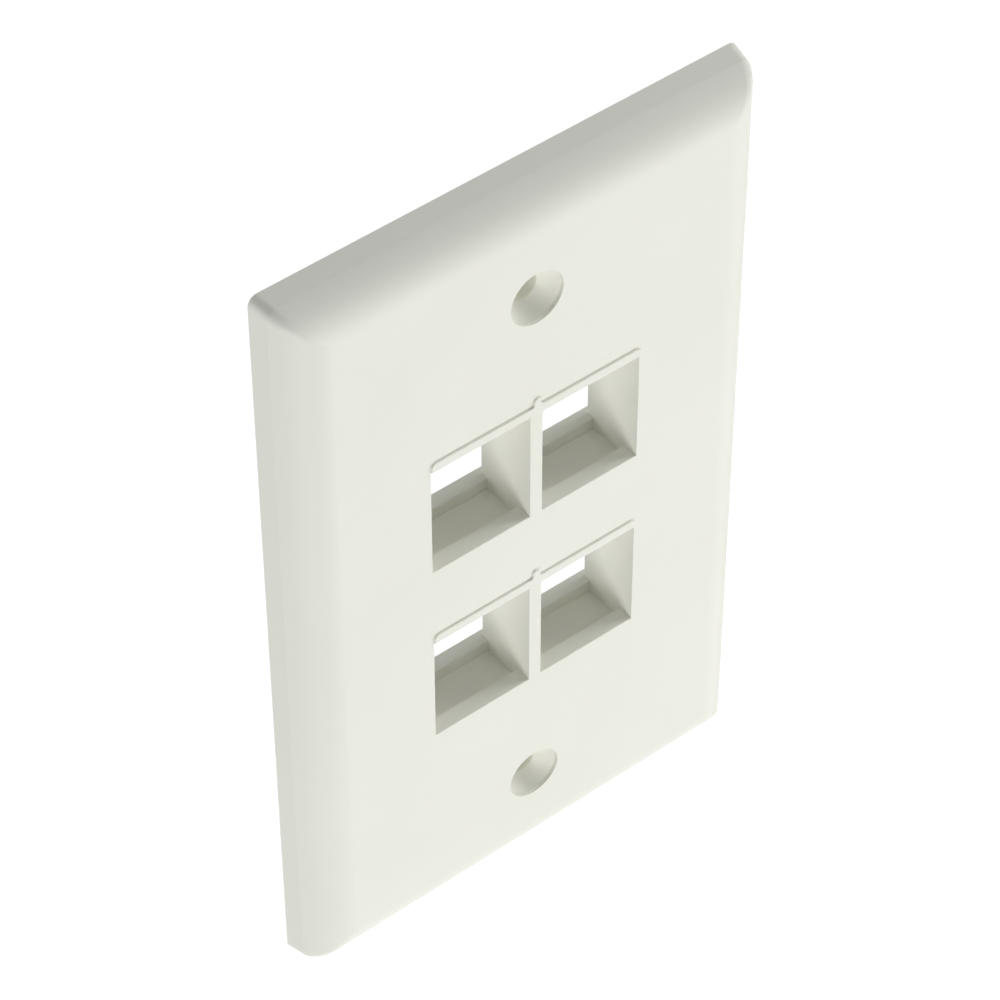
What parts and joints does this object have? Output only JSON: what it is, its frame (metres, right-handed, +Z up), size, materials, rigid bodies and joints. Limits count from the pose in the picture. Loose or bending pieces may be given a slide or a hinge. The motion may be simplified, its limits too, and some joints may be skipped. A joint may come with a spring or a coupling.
{
  "type": "keystone faceplate",
  "caption": "Wall faceplate with rolled edges, countersunk screw holes and keystone ports under raised brows.",
  "frame": {"origin": "centre of the plate on its rear rim plane, midway between the screw holes", "axes": "+X across the plate to the right seen from the front, +Y into the wall (the front faces -Y), +Z up the plate"},
  "size_m": [0.0698, 0.0106, 0.1142],
  "materials": {
    "shell_plastic": "fine satin moulded finish, off-white"
  },
  "bodies": {
    "root": {"faceplate": "shell_plastic"}
  },
  "joints": []
}
